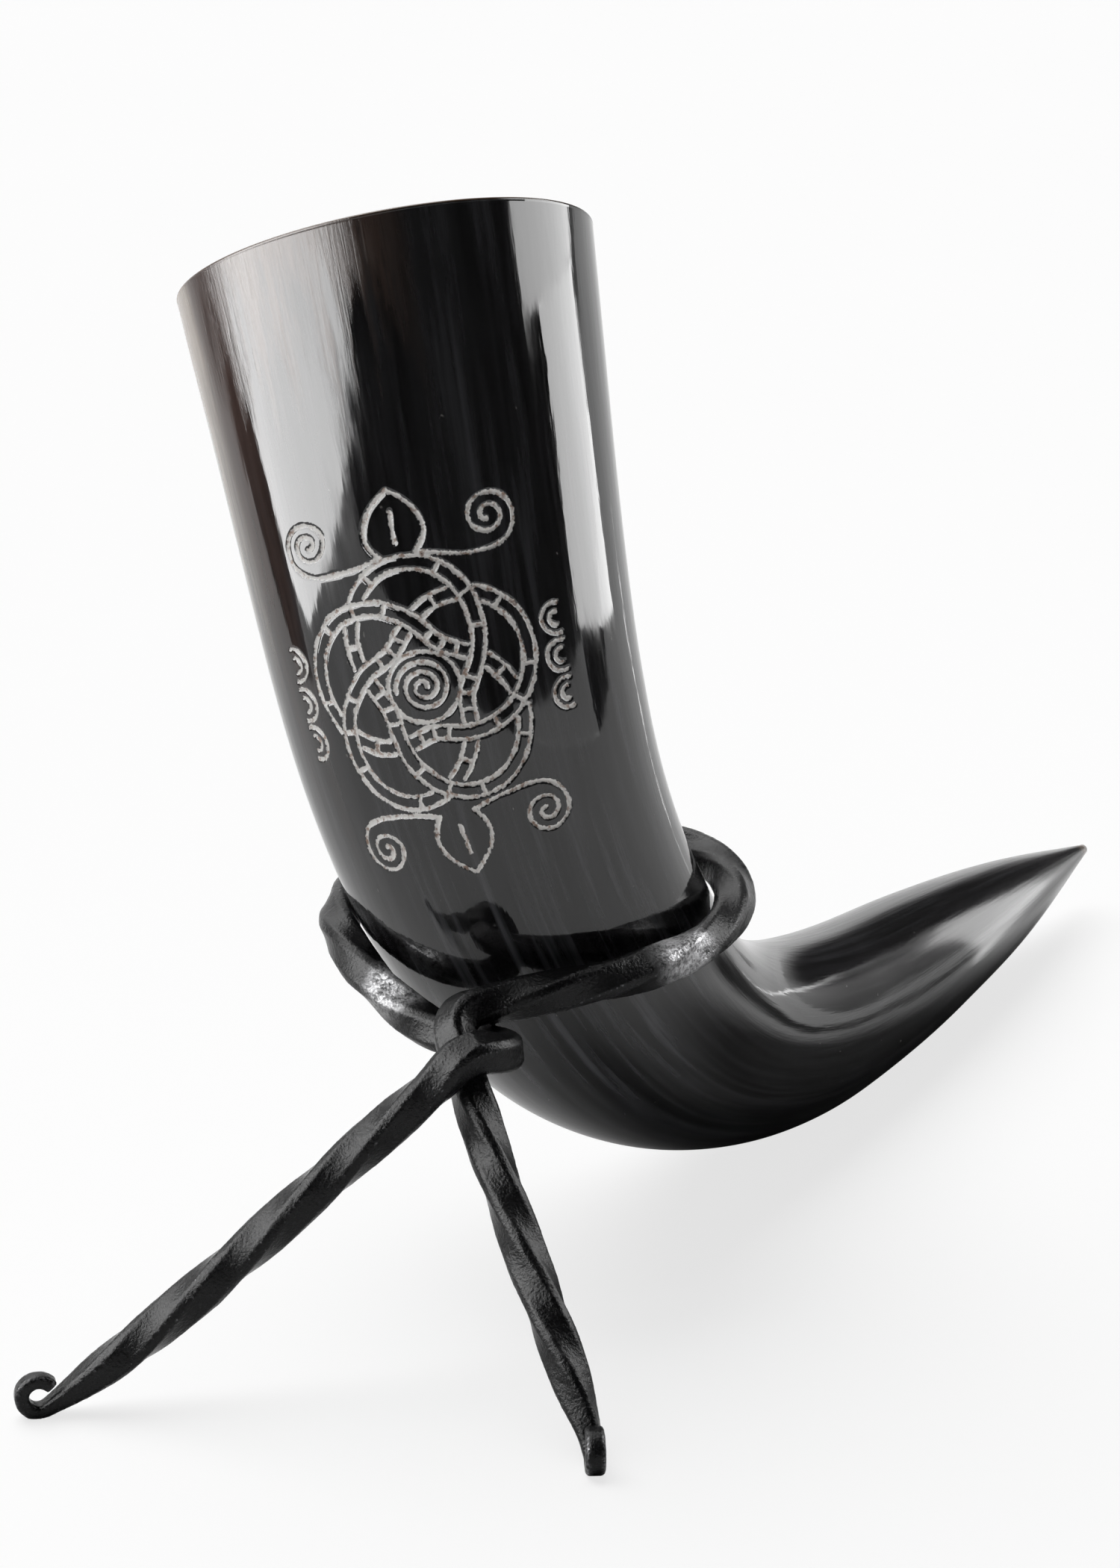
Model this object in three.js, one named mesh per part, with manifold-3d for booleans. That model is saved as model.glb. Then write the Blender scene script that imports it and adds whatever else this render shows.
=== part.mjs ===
// A drinking horn standing in a forged ring stand. Millimetres, +Z up, the ground at z = 0.
// The horn is one hollow natural horn with a sealing coat inside. The stand is one twisted square bar:
// a scroll foot, a leg, a hook round the other leg, the ring, a corner, the other leg and its scroll foot.
import * as THREE from 'three';
import { mergeVertices } from 'three/addons/utils/BufferGeometryUtils.js';
import Module from 'manifold-3d';

const { clamp, degToRad, lerp, smoothstep } = THREE.MathUtils;

// Horn: outside diameters at equal steps along the axis, from the mouth to the blunt tip
const HORN_DIAMETERS = [80, 73.2, 67.4, 59.8, 45, 37.6, 30.8, 19.6, 2.4];
const HORN_LENGTH = 386;
const BEND_RADIUS = 78;
const BEND_START = 35;
const BEND_PEAK = 137;
const BEND_END = 296;

// Slant of the cut mouth in degrees, and the length over which the rings of the horn turn square
const SLANT_TO_TAIL = -7;
const SLANT_ACROSS = -6.2;
const SLANT_FADE = 70;

// Hollow of the horn
const MOUTH_WALL = 2.6;
const DEEP_WALL = 6.5;
const HOLLOW_DEPTH = 226;
const HOLLOW_ROUNDING = 26;

// Sealing coat that lines the hollow
const COAT_THICKNESS = 0.5;
const COAT_GAP = 0.3;
const COAT_SETBACK = 3;

// How the horn stands: lean of the mouth and yaw of the tail in degrees, depth of the worn flat below
const LEAN_LEFT = 10;
const LEAN_BACK = 14.4;
const TAIL_YAW = 60;
const WORN_FLAT = 0.25;

// Ring of the stand: where its plane cuts the horn's axis, its tilts and span in degrees.
// It goes round the widest the horn gets within the hug above and below that plane, with a free gap.
const RING_STATION = 129;
const RING_TILT_FRONT = 4;
const RING_TILT_LEFT = 3.2;
const RING_START_ANGLE = 190;
const RING_END_ANGLE = -72;
const RING_HUG = 2;
const RING_CLEARANCE = 1.4;
const RING_SHIFT_RIGHT = 0.5;

// Bar of the stand: square with softened edges, twisted as far as the stops before the two scrolls
const BAR_SIDE = 6.6;
const BAR_CHAMFER = 1.1;
const TWIST_PITCH = 90;
const LEFT_TWIST_STOP = 12.5;
const RIGHT_TWIST_STOP = 1.5;

// Corner where the ring turns down into the right leg, placed from the ring's centre
const CORNER_RIGHT = -16;
const CORNER_FRONT = 44.6;
const CORNER_DROP = 4.9;
const CORNER_EASE = 5;

// Hook of the left leg round the right leg: its distance down the leg, its half axes and their tilts
const HOOK_DROP = 6.8;
const HOOK_SIDE_REACH = 8.6;
const HOOK_SIDE_DROP = 12;
const HOOK_FRONT_REACH = 10.6;
const HOOK_FRONT_RISE = 15;
const HOOK_START_ANGLE = 90;
const HOOK_END_ANGLE = -45;
const HOOK_LEAD = 10;

// Feet: where they touch the ground, from the ring's centre
const LEFT_FOOT_RIGHT = -90;
const LEFT_FOOT_FRONT = 78.3;
const RIGHT_FOOT_RIGHT = 10.5;
const RIGHT_FOOT_FRONT = 99.7;
const FOOT_FLAT = 0.25;

// Scrolls: the drawn-out ends of the bar, rolled up. Angles are in degrees.
const SCROLL_RADIUS = 3.05;
const SCROLL_SWEEP = 267;
const SCROLL_THICKNESS = 2.5;
const SCROLL_WIDTH = 3.2;
const LEG_TAPER = 22;

// Legs as they were bent by hand: the left one sags towards its foot, the right one turns aside
const LEFT_LEG_SAG = 7;
const RIGHT_LEG_TURN = -6;
const RIGHT_SCROLL_TURN = -22;

// Shares of a curved stretch over which it keeps the way of its ends
const EVEN_PULL = 1 / 3;
const FOOT_PULL = 0.08;

// Fineness of the faceted solids
const HORN_SIDES = 32;
const OUTER_RINGS = 46;
const HOLLOW_RINGS = 22;
const AXIS_STEPS = 200;
const SECTION_HALVINGS = 30;
const BAR_STEP = 3.6;
const RING_STEPS = 48;
const HOOK_STEPS = 11;
const CORNER_STEPS = 6;
const SCROLL_STEPS = 14;
const FLOOR_SIZE = 2000;

const UP = new THREE.Vector3(0, 0, 1);

const wasm = await Module();
wasm.setup();

// Solids for cutting

function toSolid(geometry) {
  const bare = new THREE.BufferGeometry();
  bare.setAttribute('position', geometry.getAttribute('position'));
  bare.setIndex(geometry.getIndex());
  const merged = mergeVertices(bare);
  const vertProperties = new Float32Array(merged.getAttribute('position').array);
  const triVerts = new Uint32Array(merged.getIndex().array);
  return new wasm.Manifold(new wasm.Mesh({ numProp: 3, vertProperties, triVerts }));
}

function toGeometry(solid) {
  const mesh = solid.getMesh();
  const geometry = new THREE.BufferGeometry();
  geometry.setAttribute('position', new THREE.BufferAttribute(mesh.vertProperties, 3));
  geometry.setIndex(new THREE.BufferAttribute(mesh.triVerts, 1));
  geometry.computeVertexNormals();
  return geometry;
}

function cutAtGround(geometry) {
  const below = new THREE.BoxGeometry(FLOOR_SIZE, FLOOR_SIZE, FLOOR_SIZE);
  below.translate(0, 0, -FLOOR_SIZE / 2);
  return toGeometry(toSolid(geometry).subtract(toSolid(below)));
}

// A closed skin over rings of points. The rings run right-handed about the way from first to last.
function loft(rings, firstPoint, lastPoint) {
  const sides = rings[0].length;
  const points = [...rings.flat(), firstPoint, lastPoint];
  const first = points.length - 2;
  const last = points.length - 1;
  const at = (ring, side) => ring * sides + (side % sides);
  const index = [];
  for (let side = 0; side < sides; side += 1) {
    index.push(first, at(0, side + 1), at(0, side));
    for (let ring = 0; ring + 1 < rings.length; ring += 1) {
      index.push(at(ring, side), at(ring, side + 1), at(ring + 1, side + 1));
      index.push(at(ring, side), at(ring + 1, side + 1), at(ring + 1, side));
    }
    index.push(last, at(rings.length - 1, side), at(rings.length - 1, side + 1));
  }
  const geometry = new THREE.BufferGeometry().setFromPoints(points);
  geometry.setIndex(index);
  return geometry;
}

// Horn, in its own frame: the mouth's centre at the origin, +Z out of the mouth, the tail bending to +X

function rampArea(share) {
  const x = clamp(share, 0, 1);
  return x ** 3 - x ** 4 / 2;
}

// Angle the axis has turned at a distance from the mouth: its curvature swells to the peak and fades
function axisTurn(distance) {
  const rise = BEND_PEAK - BEND_START;
  const fall = BEND_END - BEND_PEAK;
  const falling = clamp((distance - BEND_PEAK) / fall, 0, 1);
  const risen = rise * rampArea((distance - BEND_START) / rise);
  return (risen + fall * (falling - rampArea(falling))) / BEND_RADIUS;
}

function axisAt(distance) {
  const step = distance / AXIS_STEPS;
  const centre = new THREE.Vector3();
  for (let i = 0; i < AXIS_STEPS; i += 1) {
    const turn = axisTurn((i + 0.5) * step);
    centre.x += Math.sin(turn) * step;
    centre.z -= Math.cos(turn) * step;
  }
  const turn = axisTurn(distance);
  return { centre, inward: new THREE.Vector3(Math.cos(turn), 0, Math.sin(turn)) };
}

const diameterSteps = HORN_DIAMETERS.map((_, i) => (HORN_LENGTH * i) / (HORN_DIAMETERS.length - 1));
const diameterCurve = new THREE.CubicInterpolant(diameterSteps, HORN_DIAMETERS, 1);

function outerRadius(distance) {
  return diameterCurve.evaluate(distance)[0] / 2;
}

// How far a distance lies into the rounded bottom of the hollow, from 0 to 1
function bottomShare(distance) {
  return clamp((distance - HOLLOW_DEPTH + HOLLOW_ROUNDING) / HOLLOW_ROUNDING, 0, 1);
}

function hollowRadius(distance) {
  const wall = lerp(MOUTH_WALL, DEEP_WALL, (distance / HOLLOW_DEPTH) ** 2);
  return (outerRadius(distance) - wall) * Math.sqrt(1 - bottomShare(distance) ** 2);
}

// A point beside the axis. Near the mouth it shifts along the axis, so that the rim lies on the slant.
function hornPoint(distance, angle, radius) {
  const slope = Math.cos(angle) * Math.tan(degToRad(SLANT_TO_TAIL))
    + Math.sin(angle) * Math.tan(degToRad(SLANT_ACROSS));
  const fade = 1 - smoothstep(distance, 0, SLANT_FADE);
  const { centre, inward } = axisAt(distance - slope * radius * fade);
  centre.addScaledVector(inward, radius * Math.cos(angle));
  centre.y += radius * Math.sin(angle);
  return centre;
}

function hornRing(distance, radius) {
  const ring = [];
  for (let side = 0; side < HORN_SIDES; side += 1) {
    ring.push(hornPoint(distance, (2 * Math.PI * side) / HORN_SIDES, radius));
  }
  return ring;
}

// Distances down the hollow that crowd towards its bottom, where the radius closes fastest
function hollowSteps() {
  const steps = [];
  for (let i = 0; i < HOLLOW_RINGS; i += 1) {
    const share = Math.sin((Math.PI / 2) * (i / HOLLOW_RINGS));
    steps.push(lerp(COAT_SETBACK, HOLLOW_DEPTH, share));
  }
  return steps;
}

function hornGeometry() {
  const rings = [];
  for (let i = OUTER_RINGS; i >= 0; i -= 1) {
    const distance = (HORN_LENGTH * i) / OUTER_RINGS;
    rings.push(hornRing(distance, outerRadius(distance)));
  }
  for (const distance of [0, ...hollowSteps()]) {
    rings.push(hornRing(distance, hollowRadius(distance)));
  }
  return loft(rings, axisAt(HORN_LENGTH).centre, axisAt(HOLLOW_DEPTH).centre);
}

// Rings of the hollow's wall drawn in by an inset, from the coat's edge to the bottom
function insetRings(inset) {
  return hollowSteps().map((distance) => {
    const share = bottomShare(distance);
    const radius = hollowRadius(distance) - inset * Math.sqrt(1 - share ** 2);
    return hornRing(distance - inset * share, radius);
  });
}

function coatGeometry() {
  const outside = COAT_GAP;
  const inside = COAT_GAP + COAT_THICKNESS;
  const rings = [...insetRings(outside).reverse(), ...insetRings(inside)];
  const outsideBottom = axisAt(HOLLOW_DEPTH - outside).centre;
  const insideBottom = axisAt(HOLLOW_DEPTH - inside).centre;
  return loft(rings, outsideBottom, insideBottom);
}

// Horn in its standing pose: leaned, turned and let down until it rests on its worn flat

function standingPose(geometry) {
  const mouth = new THREE.Vector3(-Math.tan(degToRad(LEAN_LEFT)), Math.tan(degToRad(LEAN_BACK)), 1);
  mouth.normalize();
  const tail = new THREE.Vector3(Math.cos(degToRad(TAIL_YAW)), Math.sin(degToRad(TAIL_YAW)), 0);
  tail.addScaledVector(mouth, -tail.dot(mouth)).normalize();
  const across = new THREE.Vector3().crossVectors(mouth, tail);
  const turn = new THREE.Matrix4().makeBasis(tail, across, mouth);
  const turned = geometry.clone().applyMatrix4(turn);
  turned.computeBoundingBox();
  const shift = axisAt(RING_STATION).centre.applyMatrix4(turn).negate();
  shift.z = -WORN_FLAT - turned.boundingBox.min.z;
  return turn.premultiply(new THREE.Matrix4().makeTranslation(shift));
}

// Points where the horn's long outlines cross a plane
function hornSection(pose, seat, normal) {
  const section = [];
  for (let side = 0; side < HORN_SIDES; side += 1) {
    const angle = (2 * Math.PI * side) / HORN_SIDES;
    const outline = (distance) => hornPoint(distance, angle, outerRadius(distance)).applyMatrix4(pose);
    let above = 0;
    let below = BEND_END;
    for (let i = 0; i < SECTION_HALVINGS; i += 1) {
      const middle = (above + below) / 2;
      if (outline(middle).sub(seat).dot(normal) > 0) {
        above = middle;
      } else {
        below = middle;
      }
    }
    section.push(outline(above));
  }
  return section;
}

// Bar of the stand

const barReach = Math.hypot(BAR_SIDE / 2, BAR_SIDE / 2 - BAR_CHAMFER);

// Ring round the horn: an oval in the tilted plane that cuts the horn at the ring station,
// long in the way of the tail, because the plane cuts the bending horn aslant
function ringFrame(pose) {
  const right = new THREE.Vector3(1, 0, Math.tan(degToRad(RING_TILT_LEFT)));
  const back = new THREE.Vector3(0, 1, Math.tan(degToRad(RING_TILT_FRONT)));
  const normal = new THREE.Vector3().crossVectors(right, back).normalize();
  const along = right.multiplyScalar(Math.cos(degToRad(TAIL_YAW)));
  along.addScaledVector(back, Math.sin(degToRad(TAIL_YAW))).normalize();
  const aside = new THREE.Vector3().crossVectors(normal, along);
  const seat = axisAt(RING_STATION).centre.applyMatrix4(pose);
  const section = [-RING_HUG, RING_HUG].flatMap((rise) => {
    return hornSection(pose, seat.clone().addScaledVector(normal, rise), normal);
  });
  const centre = seat.clone();
  const radii = [along, aside].map((way) => {
    const offsets = section.map((point) => point.clone().sub(seat).dot(way));
    const low = Math.min(...offsets);
    const high = Math.max(...offsets);
    centre.addScaledVector(way, (low + high) / 2);
    return (high - low) / 2 + RING_CLEARANCE + barReach;
  });
  centre.x += RING_SHIFT_RIGHT;
  return { centre, along: along.multiplyScalar(radii[0]), aside: aside.multiplyScalar(radii[1]) };
}

function ringPoint(ring, degrees) {
  const angle = degToRad(degrees - TAIL_YAW);
  return ring.centre.clone()
    .addScaledVector(ring.along, Math.cos(angle))
    .addScaledVector(ring.aside, Math.sin(angle));
}

// The way the bar runs round the ring, by the left side, the back and the right side
function ringWay(ring, degrees) {
  const angle = degToRad(degrees - TAIL_YAW);
  return ring.along.clone().multiplyScalar(Math.sin(angle))
    .addScaledVector(ring.aside, -Math.cos(angle))
    .normalize();
}

function spread(count, point) {
  return Array.from({ length: count + 1 }, (_, i) => point(i / count));
}

// A smooth stretch of the bar from one point and way to another, in steps of the bar's fineness
function blend(from, fromWay, to, toWay, toPull = EVEN_PULL) {
  const length = from.distanceTo(to);
  const curve = new THREE.CubicBezierCurve3(
    from,
    from.clone().addScaledVector(fromWay, length * EVEN_PULL),
    to.clone().addScaledVector(toWay, -length * toPull),
    to,
  );
  return curve.getSpacedPoints(Math.ceil(curve.getLength() / BAR_STEP));
}

// The bend where two straight stretches meet, given by the ways from the corner back and ahead
function roundCorner(corner, back, ahead) {
  const halfInside = back.angleTo(ahead) / 2;
  const middle = back.clone().add(ahead).normalize();
  const centre = corner.clone().addScaledVector(middle, CORNER_EASE / Math.cos(halfInside));
  const from = corner.clone().addScaledVector(back, CORNER_EASE).sub(centre);
  const to = corner.clone().addScaledVector(ahead, CORNER_EASE).sub(centre);
  const axis = new THREE.Vector3().crossVectors(from, to).normalize();
  const angle = from.angleTo(to);
  return spread(CORNER_STEPS, (share) => from.clone().applyAxisAngle(axis, angle * share).add(centre));
}

// The scroll that a leg's flat end is rolled into: a circle that touches the ground at the foot.
// The leg comes down on it in the scroll's own upright plane, which may be turned from the leg's line.
function footScroll(top, foot, turn, sag) {
  const outward = foot.clone().sub(top).setZ(0).normalize();
  const reach = foot.clone().sub(top).dot(outward);
  outward.applyAxisAngle(UP, degToRad(turn));
  const centre = foot.clone().setZ(SCROLL_RADIUS + SCROLL_THICKNESS / 2 - FOOT_FLAT);
  const drop = top.z - centre.z;
  const straight = Math.atan2(drop, reach) + Math.asin(SCROLL_RADIUS / Math.hypot(reach, drop));
  const slope = straight - degToRad(sag);
  const points = spread(SCROLL_STEPS, (share) => {
    const angle = degToRad(SCROLL_SWEEP) * share - slope;
    return centre.clone()
      .addScaledVector(outward, SCROLL_RADIUS * Math.sin(angle))
      .addScaledVector(UP, -SCROLL_RADIUS * Math.cos(angle));
  });
  const way = outward.clone().multiplyScalar(Math.cos(slope)).addScaledVector(UP, -Math.sin(slope));
  const across = new THREE.Vector3().crossVectors(outward, UP);
  const run = SCROLL_RADIUS * degToRad(SCROLL_SWEEP);
  return { points, way, across, run };
}

// Centre line of the whole bar, from the left scroll's end to the right scroll's end
function barRoute(ring) {
  const place = (right, front, height) => {
    return new THREE.Vector3(ring.centre.x + right, ring.centre.y - front, height);
  };
  const corner = place(CORNER_RIGHT, CORNER_FRONT, ring.centre.z - CORNER_DROP);
  const rightFoot = place(RIGHT_FOOT_RIGHT, RIGHT_FOOT_FRONT, 0);
  const rightScroll = footScroll(corner, rightFoot, RIGHT_SCROLL_TURN, 0);
  const ringEnd = ringPoint(ring, RING_END_ANGLE);
  const legWay = rightScroll.points[0].clone().sub(corner).normalize();
  legWay.applyAxisAngle(UP, degToRad(RIGHT_LEG_TURN));
  const turn = roundCorner(corner, ringEnd.clone().sub(corner).normalize(), legWay);
  const afterTurn = turn[turn.length - 1];
  const rightLeg = blend(afterTurn, legWay, rightScroll.points[0], rightScroll.way, FOOT_PULL);

  const hookCentre = corner.clone().addScaledVector(legWay, HOOK_DROP);
  const hookFront = legWay.clone().setZ(0).normalize();
  const hookSide = new THREE.Vector3().crossVectors(UP, hookFront);
  hookFront.addScaledVector(UP, Math.tan(degToRad(HOOK_FRONT_RISE))).normalize();
  hookSide.addScaledVector(UP, -Math.tan(degToRad(HOOK_SIDE_DROP))).normalize();
  const hook = spread(HOOK_STEPS, (share) => {
    const angle = degToRad(lerp(HOOK_START_ANGLE, HOOK_END_ANGLE, share));
    return hookCentre.clone()
      .addScaledVector(hookSide, HOOK_SIDE_REACH * Math.cos(angle))
      .addScaledVector(hookFront, HOOK_FRONT_REACH * Math.sin(angle));
  });
  const hookEnd = hook[hook.length - 1];
  const hookEndWay = hookEnd.clone().sub(hook[hook.length - 2]).normalize();

  const leftFoot = place(LEFT_FOOT_RIGHT, LEFT_FOOT_FRONT, 0);
  const leftScroll = footScroll(hook[0], leftFoot, 0, LEFT_LEG_SAG);
  const leftWay = leftScroll.points[0].clone().sub(hook[0]).normalize();
  const legTop = hook[0].clone().addScaledVector(leftWay, HOOK_LEAD);
  const leftLeg = blend(legTop, leftWay, leftScroll.points[0], leftScroll.way);
  const intoHook = blend(legTop, leftWay.clone().negate(), hook[0], hookSide);

  const round = spread(RING_STEPS, (share) => {
    return ringPoint(ring, lerp(RING_START_ANGLE, RING_END_ANGLE, share));
  });
  const ontoRing = blend(hookEnd, hookEndWay, round[0], ringWay(ring, RING_START_ANGLE));
  const cornerWay = turn[0].clone().sub(ringEnd).normalize();
  const ontoCorner = blend(ringEnd, ringWay(ring, RING_END_ANGLE), turn[0], cornerWay);

  const left = [...leftLeg, ...leftScroll.points.slice(1)].reverse();
  const stretches = [left, intoHook, hook, ontoRing, round, ontoCorner, turn, rightLeg, rightScroll.points];
  const points = stretches.flatMap((stretch, i) => (i === 0 ? stretch : stretch.slice(1)));
  return { points, leftScroll, rightScroll };
}

// The bar's cross-section: a rectangle with chamfered corners, in its own width and thickness
function barSection(width, thickness) {
  const chamfer = BAR_CHAMFER * (thickness / BAR_SIDE);
  const w = width / 2;
  const t = thickness / 2;
  return [
    [w, -t + chamfer], [w, t - chamfer], [w - chamfer, t], [-w + chamfer, t],
    [-w, t - chamfer], [-w, -t + chamfer], [-w + chamfer, -t], [w - chamfer, -t],
  ];
}

function barGeometry(ring) {
  const { points, leftScroll, rightScroll } = barRoute(ring);
  const ways = points.map((_, i) => {
    const before = points[Math.max(i - 1, 0)];
    const after = points[Math.min(i + 1, points.length - 1)];
    return after.clone().sub(before).normalize();
  });
  const runs = [0];
  for (let i = 1; i < points.length; i += 1) {
    runs.push(runs[i - 1] + points[i].distanceTo(points[i - 1]));
  }
  const leftJoin = leftScroll.run;
  const rightJoin = runs[runs.length - 1] - rightScroll.run;

  // The bar is carried along without turning about itself, and the twist is added to that
  const sides = [leftScroll.across.clone()];
  for (let i = 1; i < points.length; i += 1) {
    const bend = new THREE.Quaternion().setFromUnitVectors(ways[i - 1], ways[i]);
    sides.push(sides[i - 1].clone().applyQuaternion(bend));
  }
  const lastWay = ways[ways.length - 1];
  const lastSide = sides[sides.length - 1];
  const wantedSide = rightScroll.across;
  const rest = Math.atan2(lastSide.clone().cross(wantedSide).dot(lastWay), lastSide.dot(wantedSide));
  const twistStart = leftJoin + LEFT_TWIST_STOP;
  const twisted = rightJoin - RIGHT_TWIST_STOP - twistStart;
  const wanted = (-2 * Math.PI * twisted) / TWIST_PITCH;
  const twist = rest + Math.PI * Math.round((wanted - rest) / Math.PI);

  const rings = points.map((point, i) => {
    const toScroll = Math.min(runs[i] - leftJoin, rightJoin - runs[i]);
    const full = Math.sin((Math.PI / 2) * clamp(toScroll / LEG_TAPER, 0, 1));
    const width = lerp(SCROLL_WIDTH, BAR_SIDE, full);
    const thickness = lerp(SCROLL_THICKNESS, BAR_SIDE, full);
    const share = clamp((runs[i] - twistStart) / twisted, 0, 1);
    const side = sides[i].clone().applyAxisAngle(ways[i], twist * share);
    const other = new THREE.Vector3().crossVectors(ways[i], side);
    return barSection(width, thickness).map(([across, up]) => {
      return point.clone().addScaledVector(side, across).addScaledVector(other, up);
    });
  });
  return loft(rings, points[0], points[points.length - 1]);
}

// Assembly, with the origin on the ground under the middle of the object

function piece(name, geometry, look) {
  const mesh = new THREE.Mesh(geometry, new THREE.MeshStandardMaterial(look));
  mesh.name = name;
  return mesh;
}

const hornAtRest = hornGeometry();
const pose = standingPose(hornAtRest);
const ring = ringFrame(pose);

const part = new THREE.Group();
part.add(
  piece('horn_shell', cutAtGround(hornAtRest.applyMatrix4(pose)), {
    color: 0x17171a,
    roughness: 0.22,
    metalness: 0,
  }),
  piece('inner_sealing_coat', coatGeometry().applyMatrix4(pose), {
    color: 0x3a3128,
    roughness: 0.15,
    metalness: 0,
  }),
  piece('stand_bar', cutAtGround(barGeometry(ring)), {
    color: 0x1b1b1c,
    roughness: 0.5,
    metalness: 0.8,
  }),
);

const middle = new THREE.Box3().setFromObject(part).getCenter(new THREE.Vector3());
part.position.set(-middle.x, -middle.y, 0);

export default part;
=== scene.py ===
# A polished, engraved drinking horn in a forged ring stand, as a studio photograph shows it.
# Lengths are millimetres and angles degrees, turned into metres and radians where they are used.
import math
from collections import namedtuple

import bmesh
import bpy
import numpy as np
from mathutils import Matrix, Vector, kdtree, noise


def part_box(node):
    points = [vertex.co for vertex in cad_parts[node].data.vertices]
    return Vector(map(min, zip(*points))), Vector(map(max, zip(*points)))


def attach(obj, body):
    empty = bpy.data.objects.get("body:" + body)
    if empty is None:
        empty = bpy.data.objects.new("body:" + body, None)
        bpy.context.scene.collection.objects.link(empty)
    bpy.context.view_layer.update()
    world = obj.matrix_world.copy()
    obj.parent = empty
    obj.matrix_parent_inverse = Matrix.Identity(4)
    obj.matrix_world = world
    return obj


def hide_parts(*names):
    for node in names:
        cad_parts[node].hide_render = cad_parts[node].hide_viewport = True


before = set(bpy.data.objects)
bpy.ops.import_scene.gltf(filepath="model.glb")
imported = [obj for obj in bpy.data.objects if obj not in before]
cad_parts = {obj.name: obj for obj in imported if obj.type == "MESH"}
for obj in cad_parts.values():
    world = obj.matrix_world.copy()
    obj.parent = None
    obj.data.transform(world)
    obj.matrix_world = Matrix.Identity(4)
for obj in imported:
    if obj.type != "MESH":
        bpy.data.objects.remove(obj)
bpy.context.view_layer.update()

MM = 0.001

# Horn: the same driving sizes as the CAD solid
HORN_DIAMETERS = [80, 73.2, 67.4, 59.8, 45, 37.6, 30.8, 19.6, 2.4]
HORN_LENGTH = 386
BEND_RADIUS = 78
BEND_START = 35
BEND_PEAK = 137
BEND_END = 296
SLANT_TO_TAIL = -7
SLANT_ACROSS = -6.2
SLANT_FADE = 70
MOUTH_WALL = 2.6
DEEP_WALL = 6.5
HOLLOW_DEPTH = 226
HOLLOW_ROUNDING = 26
COAT_THICKNESS = 0.5
COAT_GAP = 0.3
COAT_SETBACK = 3
LEAN_LEFT = 10
LEAN_BACK = 14.4
TAIL_YAW = 60
CAD_SIDES = 32
CAD_RINGS = 46

# Fineness of the horn's skin, with its rounded rim and tip
AXIS_STEP = 0.2
AXIS_LEAD = 20
FINE_STEP = 0.26
COARSE_STEP = 1.6
COARSE_SIDES = 90
HOLLOW_RINGS = 70
COAT_SIDES = 128
COAT_GRAIN_RADIUS = 30
RIM_ROUND = 0.55
RIM_STEPS = 5
RIM_LEAD = np.array([0.1, 0.35])
TIP_CROWN = 0.6

# Hand polish leaves the horn a little uneven, less so by the rim and the tip
POLISH_DEPTH = 0.16
POLISH_ALONG = 34
POLISH_ROUND = 15
POLISH_SEED = 5.3
POLISH_RIM_FADE = 12
POLISH_TIP_FADE = 30

# Engraving: a panel on the front of the horn, with the width and depth of its cut lines
# The groove's floor and edge are shares of the line's half width
PANEL_ANGLE = 203
PANEL_MIDDLE = 77
PANEL_HALF_WIDTH = 33
PANEL_HALF_HEIGHT = 40
PANEL_MARGIN = 1
PANEL_RADIUS = 34
LINE_HALF_WIDTH = 0.4
LINE_SWELL = 0.2
SWELL_LENGTH = 3.5
LINE_DEPTH = 0.3
LINE_SPACING = 0.12
LEAST_LINE_POINTS = 8
GROOVE_FLOOR, GROOVE_EDGE = 0.2, 1.2
HAND_WOBBLE = 0.22
HAND_WOBBLE_LENGTH = 5
HAND_WOBBLE_SEEDS = (3.7, 8.1)
FAR_FROM_LINES = 9

# Knotted ring: a ribbon goes round several times and swings in and out, over and under itself
# Points within SAME_STRETCH of its turn are one stretch of it, and one tick in TICK_SKIP is left out
KNOT_ROUNDS = 3
KNOT_SWINGS = 5
KNOT_RADIUS = 14.2
KNOT_SWING = 6.4
KNOT_STRETCH = 1.12
KNOT_POINTS = 3000
KNOT_COARSE = 8
SAME_STRETCH = 20
RIBBON_HALF = 1.25
RIBBON_GAP = 0.75
TICKS = 60
TICK_SKIP = 4
TICK_REACH = 0.9

# Flourishes round the knot: places across and up from the panel's middle
SPIRAL_EYE = 0.7
MIDDLE_SPIRAL = 5.2
MIDDLE_SPIRAL_TURN = 900
MIDDLE_RING = 6.6
TENDRIL_PLACE = (16.5, 29)
TENDRIL_SPIRAL = 4.6
TENDRIL_TURN = 620
STEM_FOOT = (3.2, 24.5)
STEM_PULL = 19.5
STEM_LENGTH = 22
BUD_PULL = (8.5, 30)
BUD_POINT = 36.5
BUD_LENGTH = 14
VEIN_START, VEIN_END = 27, 32.5
LEAF_ACROSS = 26.5
LEAF_SPACING = 7.5
LEAF_ARCS = [(3.1, 105), (1.4, 95)]

# Forged bar: how the CAD bar is rounded, the swell that makes up for it, hammer marks, forge scale and wear
RIDGE_ANGLE = 30
BAR_WELD = 0.001
BAR_ROUNDING = 2
BAR_VOXEL = 0.36
BAR_EVENING = 2
BAR_SWELL = 0.16
DENT_DEPTH = 0.16
DENT_SIZE = 7
DENT_SEED = 2.2
SCALE_DEPTH = 0.035
SCALE_SIZE = 1.1
SCALE_SEED = 7.9
WEAR_START = 0.22
WEAR_FULL = 0.55
WEAR_BLURS = 2
LEAST_SQUARE = 1e-6

# Spots of the ring with a pale painted highlight: place and reach, full over a share of the reach
PAINTED_HIGHLIGHT_SPOTS = [((-46.5, -74.8, 63.7), 8), ((9, -76.4, 72), 10)]
PAINTED_HIGHLIGHT_CORE = 0.3

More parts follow.
